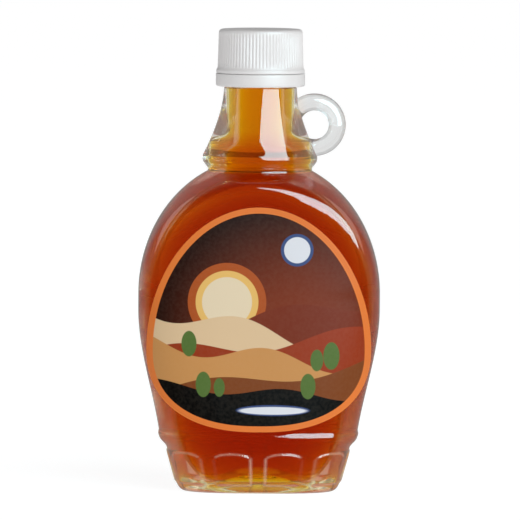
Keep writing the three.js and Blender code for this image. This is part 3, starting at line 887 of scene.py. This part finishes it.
def add_light(name, kind, azimuth, elevation, distance=2.0, aim=(0, 0, 0.1)):
    lamp = bpy.data.lights.new(name, kind)
    ob = bpy.data.objects.new(name, lamp)
    way = toward(azimuth, elevation)
    ob.location = Vector(aim) + way * distance
    ob.rotation_euler = way.to_track_quat("Z", "Y").to_euler()
    ob.visible_camera = False
    bpy.context.scene.collection.objects.link(ob)
    return ob


def add_floor():
    bm = bmesh.new()
    bmesh.ops.create_grid(bm, x_segments=1, y_segments=1, size=FLOOR_SIZE / 2)
    mesh = bpy.data.meshes.new("floor")
    bm.to_mesh(mesh)
    bm.free()
    floor = bpy.data.objects.new("floor", mesh)
    bpy.context.scene.collection.objects.link(floor)
    floor.visible_glossy = False
    table = Finish("white_table")
    table.set(base_color=FLOOR_GREY, roughness=0.9)
    table.shader.inputs["Emission Color"].default_value = WHITE
    table.shader.inputs["Emission Strength"].default_value = FLOOR_GLOW
    mesh.materials.append(table.material)


def add_room():
    """A white room that is dimmer to the sides, and nearly dark in what the glass mirrors."""
    world = bpy.data.worlds.new("studio")
    bpy.context.scene.world = world
    world.use_nodes = True
    tree = world.node_tree
    background = tree.nodes["Background"]
    background.inputs["Color"].default_value = WHITE
    path = tree.nodes.new("ShaderNodeLightPath")
    way = tree.nodes.new("ShaderNodeTexCoord")
    parts = tree.nodes.new("ShaderNodeSeparateXYZ")
    tree.links.new(way.outputs["Generated"], parts.inputs[0])

    def put(socket, value):
        if isinstance(value, bpy.types.NodeSocket):
            tree.links.new(value, socket)
        else:
            socket.default_value = value

    def toward_back(span, near, far):
        """A light that goes from near to far as the way turns to the back of the room."""
        made = tree.nodes.new("ShaderNodeMapRange")
        for name, value in zip(("Value", "From Min", "From Max", "To Min", "To Max"),
                               (parts.outputs["Y"], *span, near, far)):
            put(made.inputs[name], value)
        return made.outputs["Result"]

    def choose(flag, no, yes):
        made = tree.nodes.new("ShaderNodeMix")
        numbers = [socket for socket in made.inputs if socket.type == "VALUE"]
        for socket, value in zip(numbers, (path.outputs[flag], no, yes)):
            put(socket, value)
        return made.outputs[0]

    light = choose("Is Glossy Ray", ROOM_LIGHT, toward_back(GLOSS_SPAN, GLOSS_LIGHT, GLOSS_BEHIND))
    light = choose("Is Transmission Ray", light, toward_back(SIDE_SPAN, SIDE_DARKNESS, BEHIND_LIGHT))
    light = choose("Is Camera Ray", light, BEHIND_LIGHT)
    put(background.inputs["Strength"], light)


def add_lights():
    key = add_light("key", "SUN", *KEY_WAY)
    key.data.energy = KEY_ENERGY
    key.data.angle = KEY_SPREAD
    key.visible_glossy = False
    key.visible_transmission = False
    box = add_light("front_softbox", "AREA", *SOFTBOX_WAY, SOFTBOX_DISTANCE)
    box.data.shape = "RECTANGLE"
    box.data.size, box.data.size_y = SOFTBOX_SIZE
    box.data.energy = SOFTBOX_RADIANCE * math.pi * SOFTBOX_SIZE[0] * SOFTBOX_SIZE[1]
    box.data.color = SOFTBOX_TINT
    box.visible_diffuse = False
    box.visible_transmission = False


def add_camera():
    scene = bpy.context.scene
    lens = bpy.data.cameras.new("camera")
    lens.lens = CAMERA_LENS
    lens.clip_end = 200
    camera = bpy.data.objects.new("camera", lens)
    scene.collection.objects.link(camera)
    camera.location = (0, -CAMERA_DISTANCE, CAMERA_HEIGHT)
    looking = (CAMERA_AIM - camera.location).to_track_quat("-Z", "Y")
    camera.rotation_euler = (looking.to_matrix() @ Matrix.Rotation(CAMERA_ROLL, 3, "Z")).to_euler()
    scene.camera = camera
    scene.view_settings.view_transform = "Standard"
    scene.cycles.max_bounces = 24
    scene.cycles.transmission_bounces = 24
    scene.cycles.glossy_bounces = 12


add_floor()
add_room()
add_lights()
add_camera()
glass_flask(clear_glass(), wetted_glass())
syrup_filling(amber_syrup())
oval_label(printed_label(), bare_paper())
plastic = white_plastic()
ribbed_cap(plastic)
cap_band(plastic)
